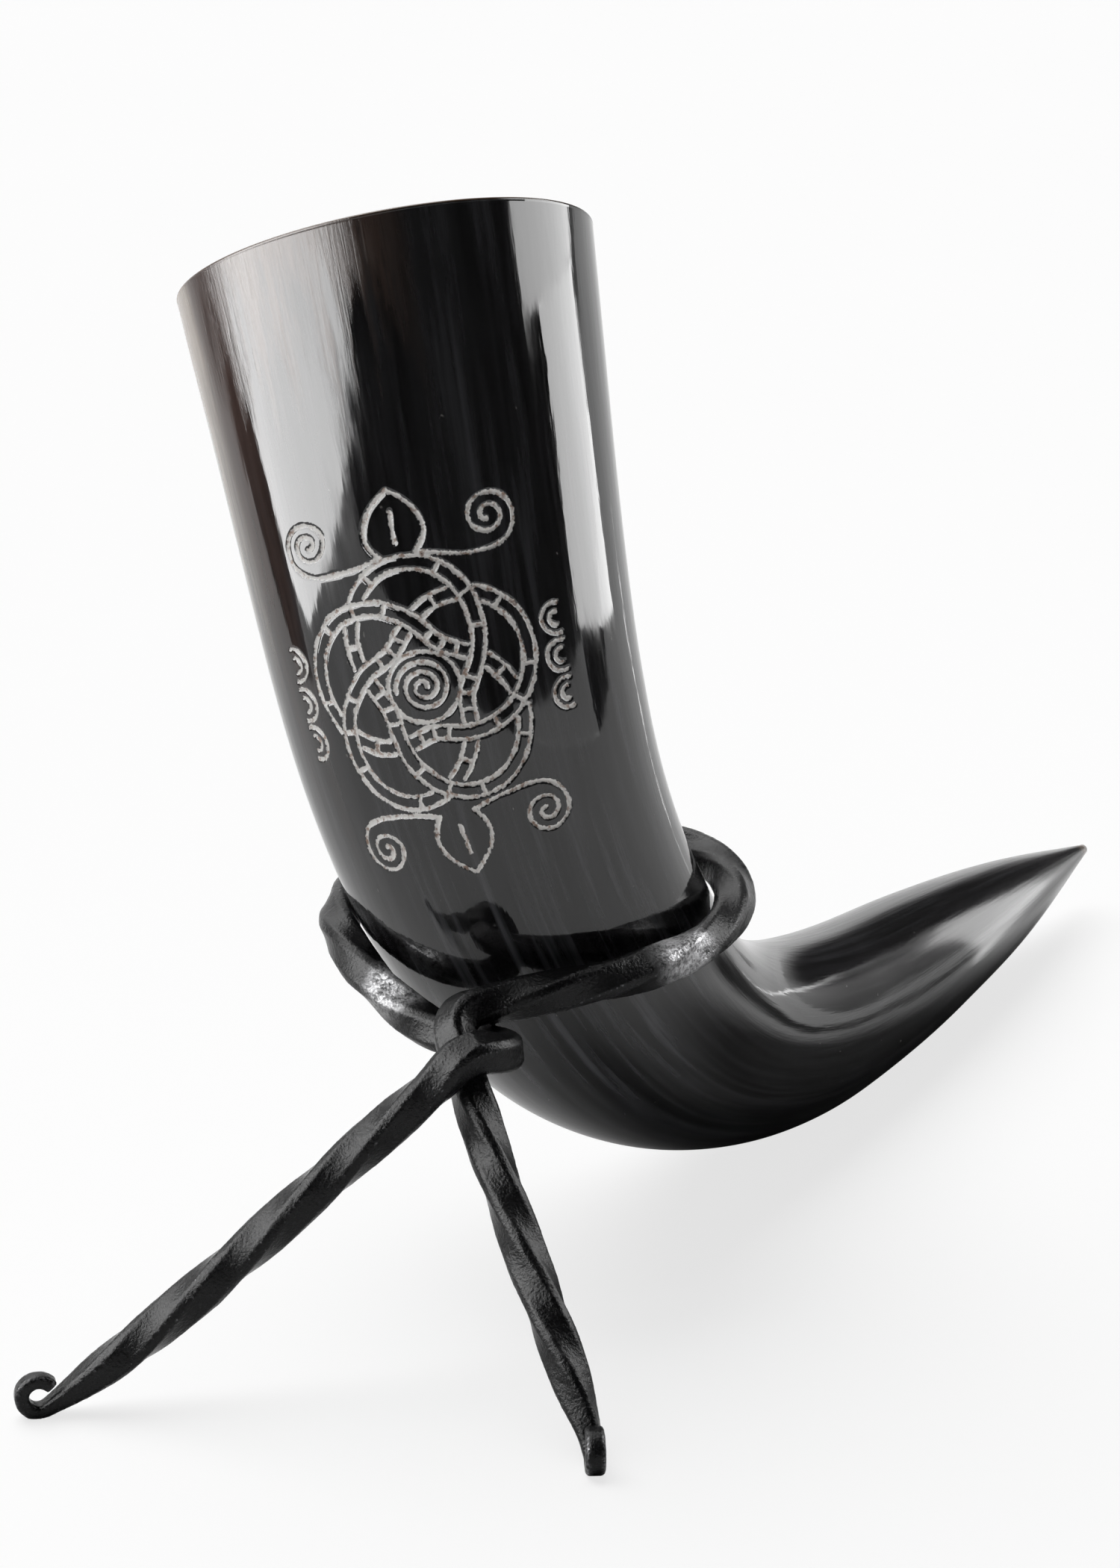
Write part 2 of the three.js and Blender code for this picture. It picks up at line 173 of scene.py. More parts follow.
# Noise patterns: repeats round and along, detail, and the span of the noise that shows
# Repeats are per millimetre of the horn's grain, and per metre for the iron, the floor and the card
Pattern = namedtuple("Pattern", "around along detail low high roughness", defaults=[0, 1, 0.55])
FIBRES = Pattern(0.42, 0.014, 3, 0.35, 0.8)
CLOUDS = Pattern(0.07, 0.014, 3, 0.3, 0.7)
VEIL = Pattern(0.38, 0.03, 4, 0.46, 0.76)
DUST = Pattern(0.7, 0.5, 1, 0.79, 0.83)
RAGGED_EDGE = Pattern(0.4, 0.04, 5, 0.25, 0.75)
CUT_CHATTER = Pattern(1.6, 1.6, 3, 0.3, 0.7)
CUT_SPECKS = Pattern(0.9, 0.9, 4, 0.5, 0.68)
WIPES = Pattern(0.5, 0.06, 5, 0.3, 0.8)
SANDED_HAIRS = Pattern(2.6, 0.1, 5, 0.3, 0.7, 0.65)
RIPPLES = Pattern(0.35, 0.05, 3)
COAT_STREAKS = Pattern(0.5, 0.03, 5, 0.3, 0.75)
COAT_CLOUDS = Pattern(0.06, 0.05, 3, 0.45, 0.75)
IRON_GRAIN = Pattern(1900, 1900, 3, 0.45, 0.75, 0.6)
IRON_PITS = Pattern(420, 420, 3)
IRON_PATCHES = Pattern(90, 90, 4, 0.32, 0.55)
FLOOR_CLOUDS = Pattern(3, 3, 2)
CARD_CLOUDS = Pattern(6, 6, 2)

# Horn's colours
HORN_DARK = (0.005, 0.0048, 0.005)
FIBRE_GREY = (0.034, 0.034, 0.037)
VEIL_GREY = (0.085, 0.086, 0.094)
DUST_GREY = (0.13, 0.125, 0.12)
RIM_BROWN = (0.16, 0.1, 0.06)
TIP_PALE = (0.36, 0.3, 0.26)
CUT_PALE = (0.8, 0.78, 0.75)
CUT_BROWN = (0.27, 0.17, 0.12)
CLOUD_STRENGTH = (0.3, 1)

# Changes along the horn: two distances from the mouth and the strength at each
VEIL_RISE = (60, 120, 0.25, 0.7)
VEIL_FALL = (140, 175, 1, 0.2)
RIM_TINT = (0.6, 0.1, 0, 0.7)
TIP_TINT = (379, 385, 0, 0.7)
TAIL_HAZE = (185, 250, 0, 0.11)

# Lighter growth by the mouth, and a pale band down the left side that is partly a painted highlight: middle
# angle, reach to each side, length down the horn, colour
MOUTH_ZONES_AND_EDGE_HIGHLIGHT = [
    (203, 20, 30, (0.046, 0.03, 0.024)),
    (188, 24, 22, (0.09, 0.062, 0.052)),
    (158, 52, 26, (0.2, 0.158, 0.138)),
    # Pale band down the left side: lighter horn, painted pale enough to stand in for the edge's bright
    # highlight
    (125, 30, 90, (0.62, 0.54, 0.47)),
    (156, 13, 110, (0.1, 0.064, 0.055)),
]
RAGGED_REACH = 14

# Edge of a cut line's colour, either side of the line's half width
CHATTER_REACH = 0.14
CUT_FADE_OUT, CUT_FADE_IN = 0.1, 0.12

# Horn's gloss: roughness between two values, with a sanded zone by the mouth
WIPED_ROUGHNESS = (0.035, 0.1)
SANDED_ROUGHNESS = (0.04, 0.26)
SANDED_ANGLE, SANDED_REACH = 168, 75
SANDED_FROM, SANDED_FULL = 34, 2
CUT_ROUGHNESS = 0.6
HORN_IOR = 1.57

# Coat's looks
COAT_DARK = (0.16, 0.1, 0.055)
COAT_LIGHT = (0.36, 0.26, 0.16)
COAT_STAIN = (0.07, 0.05, 0.035)
COAT_ROUGHNESS = (0.3, 0.7, 0.22, 0.42)
COAT_GLAZE = 0.4
COAT_GLAZE_ROUGHNESS = 0.15

# Iron's looks
IRON_DARK = (0.004, 0.004, 0.0044)
IRON_GREY = (0.012, 0.012, 0.013)
IRON_WORN = (0.26, 0.26, 0.27)
# Colour of the painted highlight at the ring's spots
IRON_PAINTED_HIGHLIGHT = (0.64, 0.64, 0.65)
RUBBED_GRAIN = (0.4, 0.62)
# The painted highlight's span of grain and pits, and how metallic it is
PAINTED_HIGHLIGHT_GRAIN = (0.6, 1.32)
PAINTED_HIGHLIGHT_METALLIC = 0.5
IRON_ROUGHNESS = (0.3, 0.7, 0.18, 0.3)
IRON_SHINE = 0.21

# Bumps: strength and depth
RIPPLE_BUMP = (0.07, 0.6)
FIBRE_BUMP = (0.03, 0.3)
SANDED_BUMP = (0.16, 0.4)
COAT_BUMP = (0.15, 0.5)
PIT_BUMP = (0.18, 0.8)
GRAIN_BUMP = (0.55, 0.3)

# Camera of the photograph
PHOTO_HEIGHT = 2100
FOCAL_PIXELS = 5370
SENSOR = 36
CAMERA_TARGET = (-15.2, -67.1, 101.4)
CAMERA_DISTANCE = 750
CAMERA_ELEVATION = 18

# World: light relative to a white of 1, and ways to its lights and dark gap with the cosines that they span
WHITE_LIGHT = 1
ROOM_LIGHT = 0.03
BACK_LIGHT = 0.9
BACK_WAY = (0, 1, 0)
BACK_SPAN = (0.45, 0.9)
GAP_WAY = (0.432, 0.847, 0.309)
GAP_SPAN = (0.925, 0.98)
KEY_LIGHT = 4.8
KEY_WAY = (-0.321, 0.383, 0.866)
KEY_SPAN = (0.84, 0.93)

# Floor and black card; a spot of painted shade has a middle, a dark core and a reach
FLOOR_REACH = 6000
FLOOR_PALE, FLOOR_PALER = (0.9, 0.9, 0.9), (0.93, 0.93, 0.93)
FLOOR_GLOW = 0.75
GLOW_NEAR, GLOW_FAR = 350, 900
PAINTED_SHADE_SPOTS = [((70, 20, 0), 40, 140), ((205, 140, 0), 20, 80)]
PAINTED_SHADE_TONE = (0.05, 0.05, 0.05)
CARD_CORNERS = [(-380, -40, 2), (-380, 20, 2), (-1100, 660, 2), (-1100, -40, 2)]
CARD_BLACK, CARD_LESS_BLACK = (0.01, 0.01, 0.01), (0.016, 0.016, 0.016)
MATT_ROUGHNESS = 0.9
MATT_SHINE = 0.1

# Softboxes: name, both ends of the lower edge, height, light relative to a white of 1
SOFTBOXES = [
    ("left_softbox", (-560, -42, -30), (-250, -579, 243), 530, 9.5),
    ("right_softbox", (431, -80, 156), (358, 194, 99), 98, 7),
    ("right_wing", (442, -152, 269), (346, 206, 196), 300, 6),
    ("low_softbox", (152, 146, -155), (269, 315, -76), 211, 2.6),
    ("dim_softbox", (450, -800, 103), (450, -70, 103), 50, 1),
]


def smoothstep(value, low, high):
    share = np.clip((value - low) / (high - low), 0, 1)
    return share * share * (3 - 2 * share)


# Form of the horn


# Area under a smoothstep, from its start to a share of the way
def ramp_area(share):
    share = np.clip(share, 0, 1)
    return share**3 - share**4 / 2


# How far the axis has turned, in radians: its bend grows to a peak and fades again
def axis_turn(distance):
    rise = BEND_PEAK - BEND_START
    fall = BEND_END - BEND_PEAK
    falling = np.clip((distance - BEND_PEAK) / fall, 0, 1)
    risen = rise * ramp_area((distance - BEND_START) / rise)
    return (risen + fall * (falling - ramp_area(falling))) / BEND_RADIUS


def axis_table():
    distance = np.arange(-AXIS_LEAD, HORN_LENGTH + AXIS_LEAD, AXIS_STEP)
    turn = axis_turn(distance + AXIS_STEP / 2)
    x = np.concatenate([[0], np.cumsum(np.sin(turn) * AXIS_STEP)[:-1]])
    z = np.concatenate([[0], -np.cumsum(np.cos(turn) * AXIS_STEP)[:-1]])
    return distance, x - np.interp(0, distance, x), z - np.interp(0, distance, z)


AXIS_DISTANCE, AXIS_X, AXIS_Z = axis_table()


# A smooth curve through the horn's radii, which lie at even distances
def outer_radius(distance):
    values = np.array(HORN_DIAMETERS) / 2
    slopes = np.gradient(values)
    place = np.clip(distance / HORN_LENGTH, 0, 1) * (len(values) - 1)
    first = np.minimum(place.astype(int), len(values) - 2)
    share = place - first
    blend = smoothstep(share, 0, 1)
    start = (1 - blend) * values[first] + share * (1 - share) ** 2 * slopes[first]
    end = blend * values[first + 1] - share**2 * (1 - share) * slopes[first + 1]
    return start + end


def bottom_share(distance):
    return np.clip((distance - HOLLOW_DEPTH + HOLLOW_ROUNDING) / HOLLOW_ROUNDING, 0, 1)


def hollow_radius(distance):
    wall = MOUTH_WALL + (DEEP_WALL - MOUTH_WALL) * (np.maximum(distance, 0) / HOLLOW_DEPTH) ** 2
    return (outer_radius(distance) - wall) * np.sqrt(1 - bottom_share(distance) ** 2)


# Points beside the axis, for a grid of distances and radii (rows) and angles (columns)
def horn_grid(distance, radius, angle):
    slope = np.cos(angle) * math.tan(math.radians(SLANT_TO_TAIL))
    slope = slope + np.sin(angle) * math.tan(math.radians(SLANT_ACROSS))
    fade = 1 - smoothstep(distance, 0, SLANT_FADE)
    along = distance - slope * radius * fade
    turn = axis_turn(along)
    x = np.interp(along, AXIS_DISTANCE, AXIS_X) + np.cos(turn) * radius * np.cos(angle)
    z = np.interp(along, AXIS_DISTANCE, AXIS_Z) + np.sin(turn) * radius * np.cos(angle)
    return np.stack([x, radius * np.sin(angle), z], axis=-1)


def standing_turn():
    mouth = Vector((-math.tan(math.radians(LEAN_LEFT)), math.tan(math.radians(LEAN_BACK)), 1))
    mouth.normalize()
    tail = Vector((math.cos(math.radians(TAIL_YAW)), math.sin(math.radians(TAIL_YAW)), 0))
    tail = (tail - mouth * tail.dot(mouth)).normalized()
    return np.array([tail, mouth.cross(tail), mouth])


# The place is read off the CAD solid's box, by way of a skin with the same facets
def standing_shift(turn):
    distance = np.linspace(0, HORN_LENGTH, CAD_RINGS + 1)[:, None]
    angle = np.arange(CAD_SIDES)[None, :] * (2 * math.pi / CAD_SIDES)
    facets = horn_grid(distance, outer_radius(distance), angle).reshape(-1, 3) @ turn
    low, high = (np.array(corner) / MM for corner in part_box("horn_shell"))
    middle = (low + high - facets.min(0) - facets.max(0)) / 2
    return np.array([middle[0], middle[1], high[2] - facets[:, 2].max()])


HORN_TURN = standing_turn()
HORN_SHIFT = standing_shift(HORN_TURN)


# Places on the standing horn, which is worn flat where it rests on the ground
def stand_up(points):
    placed = points.reshape(-1, 3) @ HORN_TURN + HORN_SHIFT
    placed[:, 2] = np.maximum(placed[:, 2], 0)
    return placed


def axis_point(distance):
    return stand_up(horn_grid(np.array([[distance]]), np.zeros((1, 1)), np.zeros((1, 1))))[0]


# Meshes from grids of points


# A skin of rows that go round, closed by a point before its first row and one after its last
def grid_mesh(name, points, columns, first_end, last_end):
    rows = len(points) // columns
    vertices = np.concatenate([points, [first_end], [last_end]]) * MM
    row, column = np.meshgrid(np.arange(rows - 1), np.arange(columns), indexing="ij")
    here = row * columns + column
    beside = row * columns + (column + 1) % columns
    quads = np.stack([here, beside, beside + columns, here + columns], axis=-1)
    first = rows * columns
    last_row = (rows - 1) * columns
    faces = quads.reshape(-1, 4).tolist()
    for side in range(columns):
        following = (side + 1) % columns
        faces.append((first, following, side))
        faces.append((first + 1, last_row + side, last_row + following))
    mesh = bpy.data.meshes.new(name)
    mesh.from_pydata(vertices.tolist(), [], faces)
    mesh.shade_smooth()
    return mesh


# A value for each vertex of a mesh, with zero for the points that close a skin
def add_values(mesh, name, values):
    padded = np.concatenate([values, np.zeros(len(mesh.vertices) - len(values))])
    mesh.attributes.new(name, "FLOAT", "POINT").data.foreach_set("value", padded)


# Place in the horn's grain: round the horn at one radius, and along its axis
def grain_places(angle, distance, radius):
    return np.stack(np.broadcast_arrays(np.cos(angle) * radius, np.sin(angle) * radius, distance), axis=-1)


def add_grain(mesh, grain):
    places = grain.reshape(-1, 3)
    padded = np.concatenate([places, np.zeros((len(mesh.vertices) - len(places), 3))])
    mesh.attributes.new("grain_place", "FLOAT_VECTOR", "POINT").data.foreach_set("vector", padded.ravel())


def add_object(name, data):
    added = bpy.data.objects.new(name, data)
    bpy.context.scene.collection.objects.link(added)
    return added


def add_piece(name, mesh, body, node, material):
    piece = add_object(name, mesh)
    mesh.materials.append(material)
    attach(piece, body)
    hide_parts(node)


# Smooth noise at each place, up to a depth either way
def field(places, size, depth, seed):
    offset = Vector((seed, seed, seed))
    return np.array([noise.noise(Vector(place) / size + offset) for place in places]) * depth


# Engraving, drawn flat: x to the right along the skin, y up towards the mouth


def curve(path, low, high, length):
    count = max(LEAST_LINE_POINTS, int(length / LINE_SPACING))
    return np.array([path(value) for value in np.linspace(low, high, count)])


def straight(start, end):
    start, end = np.array(start, float), np.array(end, float)
    return curve(lambda share: start + (end - start) * share, 0, 1, np.linalg.norm(end - start))


# A bow from start to end, pulled towards a third point
def bow(start, pull, end, length):
    def path(share):
        left = 1 - share
        return left**2 * start + 2 * share * left * pull + share**2 * end

    return curve(path, 0, 1, length)


def spiral(middle, inner, outer, low, high):
    def path(degrees):
        radius = inner + (outer - inner) * (degrees - low) / (high - low)
        turn = math.radians(degrees)
        return (middle[0] + radius * math.cos(turn), middle[1] + radius * math.sin(turn))

    return curve(path, low, high, outer * math.radians(abs(high - low)))


def arc(middle, radius, low, high):
    return spiral(middle, radius, radius, low, high)


def knot_strand(turn):
    reach = KNOT_RADIUS + KNOT_SWING * np.cos(KNOT_SWINGS * turn)
    x = reach * np.sin(KNOT_ROUNDS * turn)
    y = reach * np.cos(KNOT_ROUNDS * turn) * KNOT_STRETCH
    return np.stack([x, y], axis=-1)


# Points of the ribbon that no other stretch of it covers
def uncovered(points, turn, centre, centre_turn):
    apart = np.abs(turn[:, None] - centre_turn[None, :])
    apart = np.minimum(apart, 2 * math.pi - apart)
    near = np.linalg.norm(points[:, None] - centre[None, :], axis=-1) < RIBBON_HALF + RIBBON_GAP
    height, centre_height = np.sin(KNOT_SWINGS * turn), np.sin(KNOT_SWINGS * centre_turn)
    over = centre_height[None, :] > height[:, None]
    return ~np.any(near & over & (apart > math.radians(SAME_STRETCH)), axis=1)


# Both edges of the ribbon, and ticks across it in groups
def knot():
    turn = np.linspace(0, 2 * math.pi, KNOT_POINTS, endpoint=False)
    centre = knot_strand(turn)
    way = np.gradient(centre, axis=0)
    way /= np.linalg.norm(way, axis=1)[:, None]
    beside = np.stack([-way[:, 1], way[:, 0]], axis=-1) * RIBBON_HALF
    coarse, coarse_turn = centre[::KNOT_COARSE], turn[::KNOT_COARSE]
    lines = []
    for side in (1, -1):
        edge = centre + side * beside
        lines.append(edge[uncovered(edge, turn, coarse, coarse_turn)])
    for tick in range(TICKS):
        if tick % TICK_SKIP == 0:
            continue
        at = tick * KNOT_POINTS // TICKS
        reach = TICK_REACH * beside[at]
        stroke = straight(centre[at] - reach, centre[at] + reach)
        if uncovered(stroke, np.full(len(stroke), turn[at]), coarse, coarse_turn).all():
            lines.append(stroke)
    return lines


# Angle that points away from the panel's middle line, on its right (1) or left (-1)
def outward(side):
    return 90 - 90 * side


# A tendril springs from the knot, swings out and ends in a spiral, with half a bud beside its foot
def tendril(side, end):
    corner = np.array((side, end))
    last_angle = outward(side)
    first_angle = last_angle + side * end * TENDRIL_TURN
    curl = spiral(corner * TENDRIL_PLACE, SPIRAL_EYE, TENDRIL_SPIRAL, first_angle, last_angle)
    foot = corner * STEM_FOOT
    last = curl[-1]
    stem = bow(foot, np.array((last[0], end * STEM_PULL)), last, STEM_LENGTH)
    bud = bow(foot, corner * BUD_PULL, np.array((0, end * BUD_POINT)), BUD_LENGTH)
    vein = straight((0, end * VEIN_START), (0, end * VEIN_END))
    return [curl, stem, bud, vein]


def side_leaves(side):
    inward = outward(-side)
    lines = []
    for level in (-1, 0, 1):
        middle = (side * LEAF_ACROSS, level * LEAF_SPACING)
        lines += [arc(middle, radius, inward - half, inward + half) for radius, half in LEAF_ARCS]
    return lines


def flourishes():
    lines = [spiral((0, 0), SPIRAL_EYE, MIDDLE_SPIRAL, 0, MIDDLE_SPIRAL_TURN)]
    lines.append(arc((0, 0), MIDDLE_RING, 0, 360))
    for side in (1, -1):
        lines += side_leaves(side)
        for end in (1, -1):
            lines += tendril(side, end)
    return lines


# Points of all the lines, a little off as a hand draws them
def engraved_points():
    points = np.concatenate(knot() + flourishes())
    for axis, seed in enumerate(HAND_WOBBLE_SEEDS):
        wobble = [noise.noise(Vector((x, y, seed)) / HAND_WOBBLE_LENGTH) for x, y in points]
        points[:, axis] += np.array(wobble) * HAND_WOBBLE
    return points


def line_distance(across, up):
    points = engraved_points()
    tree = kdtree.KDTree(len(points))
    for index, (x, y) in enumerate(points):
        tree.insert((x, y, 0), index)
    tree.balance()
    distance = np.full(across.shape, float(FAR_FROM_LINES))
    inside = np.abs(across) < PANEL_HALF_WIDTH + PANEL_MARGIN
    inside &= np.abs(up) < PANEL_HALF_HEIGHT + PANEL_MARGIN
    found = [tree.find((x, y, 0))[2] for x, y in zip(across[inside], up[inside])]
    swell = [noise.noise(Vector((x, y, 0)) / SWELL_LENGTH) for x, y in zip(across[inside], up[inside])]
    distance[inside] = np.minimum(np.maximum(found - LINE_SWELL * np.array(swell), 0), FAR_FROM_LINES)
    return distance


# Horn


# Length along the skin down the panel's middle line, from the panel's middle
def skin_length(distance):
    steps = np.arange(0, HORN_LENGTH, AXIS_STEP)[:, None]
    middle = np.array([[math.radians(PANEL_ANGLE)]])
    path = horn_grid(steps, outer_radius(steps), middle)[:, 0]
    length = np.concatenate([[0], np.cumsum(np.linalg.norm(np.diff(path, axis=0), axis=1))])
    return np.interp(distance, steps[:, 0], length - np.interp(PANEL_MIDDLE, steps[:, 0], length))


def skin_angles():
    half = PANEL_HALF_WIDTH / PANEL_RADIUS
    middle = math.radians(PANEL_ANGLE)
    fine = np.linspace(middle - half, middle + half, int(2 * PANEL_HALF_WIDTH / FINE_STEP))
    coarse = np.linspace(middle + half, middle - half + 2 * math.pi, COARSE_SIDES)[1:-1]
    return np.concatenate([fine, coarse])


# Rows of the outside, from the tip up to the rim
def skin_distances():
    low = PANEL_MIDDLE - PANEL_HALF_HEIGHT
    high = PANEL_MIDDLE + PANEL_HALF_HEIGHT
    above = np.concatenate([RIM_ROUND + RIM_LEAD, np.arange(COARSE_STEP, low, COARSE_STEP)])
    fine = np.arange(low, high, FINE_STEP)
    below = np.linspace(high, HORN_LENGTH, int((HORN_LENGTH - high) / COARSE_STEP))
    return np.concatenate([above, fine, below])[::-1]


def hollow_distances(start):
    share = np.sin(np.linspace(0, math.pi / 2, HOLLOW_RINGS, endpoint=False))
    return start + (HOLLOW_DEPTH - start) * share


# The rim's rounded edge, from the outside over to the hollow
def rim_rows():
    turn = np.linspace(0, math.pi / 2, RIM_STEPS)
    drop = RIM_ROUND * (1 - np.sin(turn))
    draw_in = RIM_ROUND * (1 - np.cos(turn))
    outside = outer_radius(np.zeros(1)) - draw_in
    inside = outer_radius(np.zeros(1)) - MOUTH_WALL + draw_in[::-1]
    return np.concatenate([drop, drop[::-1]]), np.concatenate([outside, inside])


# How far the hand polish left the skin out or in
def polish(distance, grain):
    stretched = grain.reshape(-1, 3) / (POLISH_ROUND, POLISH_ROUND, POLISH_ALONG)
    uneven = field(stretched, 1, POLISH_DEPTH, POLISH_SEED).reshape(grain.shape[:2])
    below_rim = smoothstep(distance, RIM_ROUND, POLISH_RIM_FADE)
    by_tip = smoothstep(distance, HORN_LENGTH - POLISH_TIP_FADE, HORN_LENGTH)
    return uneven * (below_rim * (1 - by_tip))


# Distance from each point of the skin to the nearest cut line, or FAR_FROM_LINES
def cut_distance(distance, angle):
    across = (angle - math.radians(PANEL_ANGLE)) * PANEL_RADIUS
    return line_distance(*np.broadcast_arrays(across, -skin_length(distance)))


def horn_mesh():
    angle = skin_angles()[None, :]
    outer = skin_distances()
    rim_distance, rim_radius = rim_rows()
    hollow = hollow_distances(RIM_ROUND)[1:]
    distance = np.concatenate([outer, rim_distance, hollow])[:, None]
    radius = np.concatenate([outer_radius(outer), rim_radius, hollow_radius(hollow)])[:, None]
    is_outer = np.arange(len(distance))[:, None] < len(outer)

    grain = grain_places(angle, distance, PANEL_RADIUS)
    cut = np.where(is_outer, cut_distance(distance, angle), FAR_FROM_LINES)
    uncut = smoothstep(cut, GROOVE_FLOOR * LINE_HALF_WIDTH, GROOVE_EDGE * LINE_HALF_WIDTH)
    skin = radius + is_outer * (polish(distance, grain) - LINE_DEPTH * (1 - uncut))
    points = stand_up(horn_grid(distance, skin, angle))
    tip, bottom = axis_point(HORN_LENGTH + TIP_CROWN), axis_point(HOLLOW_DEPTH)
    mesh = grid_mesh("horn", points, angle.shape[1], tip, bottom)
    add_grain(mesh, grain)
    add_values(mesh, "line_distance", cut.ravel())
    return mesh


# A skin up the coat's outside from the bottom to the mouth, and down its inside
def coat_mesh():
    angle = np.linspace(0, 2 * math.pi, COAT_SIDES, endpoint=False)[None, :]
    distance = hollow_distances(COAT_SETBACK)
    share = bottom_share(distance)
    rows = []
    ends = []
    for inset, order in ((COAT_GAP, -1), (COAT_GAP + COAT_THICKNESS, 1)):
        radius = hollow_radius(distance) - inset * np.sqrt(1 - share**2)
        rows.append(np.stack([distance - inset * share, radius], axis=-1)[::order])
        ends.append(axis_point(HOLLOW_DEPTH - inset))
    rows = np.concatenate(rows)
    points = stand_up(horn_grid(rows[:, :1], rows[:, 1:], angle))
    mesh = grid_mesh("sealing_coat", points, COAT_SIDES, *ends)
    add_grain(mesh, grain_places(angle, rows[:, :1], COAT_GRAIN_RADIUS))
    return mesh


# Forged bar


# How strongly the skin bends outwards at each vertex, per millimetre
def convexity(mesh, places, normals):
    ends = np.zeros(len(mesh.edges) * 2, int)
    mesh.edges.foreach_get("vertices", ends)
    first, second = ends.reshape(-1, 2).T
    gap = places[first] - places[second]
    square = np.maximum((gap**2).sum(1), LEAST_SQUARE)
    total = np.zeros(len(places))
    count = np.bincount(ends, minlength=len(places))
    np.add.at(total, first, (normals[first] * gap).sum(1) / square)
    np.add.at(total, second, -(normals[second] * gap).sum(1) / square)
    bend = total / count
    for _ in range(WEAR_BLURS):
        around = np.bincount(first, bend[second], len(places)) + np.bincount(second, bend[first], len(places))
        bend = (bend + around / count) / 2
    return bend


# The CAD bar with flat faces joined and its ridges creased
def creased_bar():
    ridge = math.radians(RIDGE_ANGLE)
    bar = bmesh.new()
    bar.from_mesh(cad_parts["stand_bar"].data)
    bmesh.ops.remove_doubles(bar, verts=bar.verts, dist=BAR_WELD * MM)
    bmesh.ops.join_triangles(bar, faces=bar.faces, angle_face_threshold=ridge, angle_shape_threshold=math.pi)
    crease = bar.edges.layers.float.new("crease_edge")
    for edge in bar.edges:
        if len(edge.link_faces) == 2 and edge.calc_face_angle() > ridge:
            edge[crease] = 1
    mesh = bpy.data.meshes.new("bar_form")
    bar.to_mesh(mesh)
    bar.free()
    return mesh


# One even skin over the bar, rounded between its ridges
def rounded_bar():
    rough = creased_bar()
    form = add_object("bar_form", rough)
    form.modifiers.new("smooth", "SUBSURF").levels = BAR_ROUNDING
    remesh = form.modifiers.new("voxels", "REMESH")
    remesh.mode = "VOXEL"
    remesh.voxel_size = BAR_VOXEL * MM
    form.modifiers.new("even", "SMOOTH").iterations = BAR_EVENING
    mesh = bpy.data.meshes.new_from_object(form.evaluated_get(bpy.context.evaluated_depsgraph_get()))
    mesh.name = "stand"
    bpy.data.objects.remove(form)
    bpy.data.meshes.remove(rough)
    return mesh


def stand_mesh():
    mesh = rounded_bar()
    places = np.zeros(len(mesh.vertices) * 3)
    normals = np.zeros(len(mesh.vertices) * 3)
    mesh.vertices.foreach_get("co", places)
    mesh.vertices.foreach_get("normal", normals)
    places, normals = places.reshape(-1, 3) / MM, normals.reshape(-1, 3)
    bend = convexity(mesh, places, normals)
    dents = field(places, DENT_SIZE, DENT_DEPTH, DENT_SEED) + BAR_SWELL
    scale = field(places, SCALE_SIZE, SCALE_DEPTH, SCALE_SEED)
    moved = places + normals * (dents + scale)[:, None]
    moved[:, 2] = np.maximum(moved[:, 2], 0)
    mesh.vertices.foreach_set("co", (moved * MM).ravel())
    mesh.update()
    add_values(mesh, "wear", smoothstep(bend, WEAR_START, WEAR_FULL))
    # A share of painted highlight round each spot
    painted_highlight = np.zeros(len(places))
    for spot, reach in PAINTED_HIGHLIGHT_SPOTS:
        away = np.linalg.norm(places - spot, axis=1)
        painted_highlight = np.maximum(painted_highlight, 1 - smoothstep(away, PAINTED_HIGHLIGHT_CORE * reach, reach))
    add_values(mesh, "painted_highlight", painted_highlight)
    mesh.shade_smooth()
    return mesh


# Materials


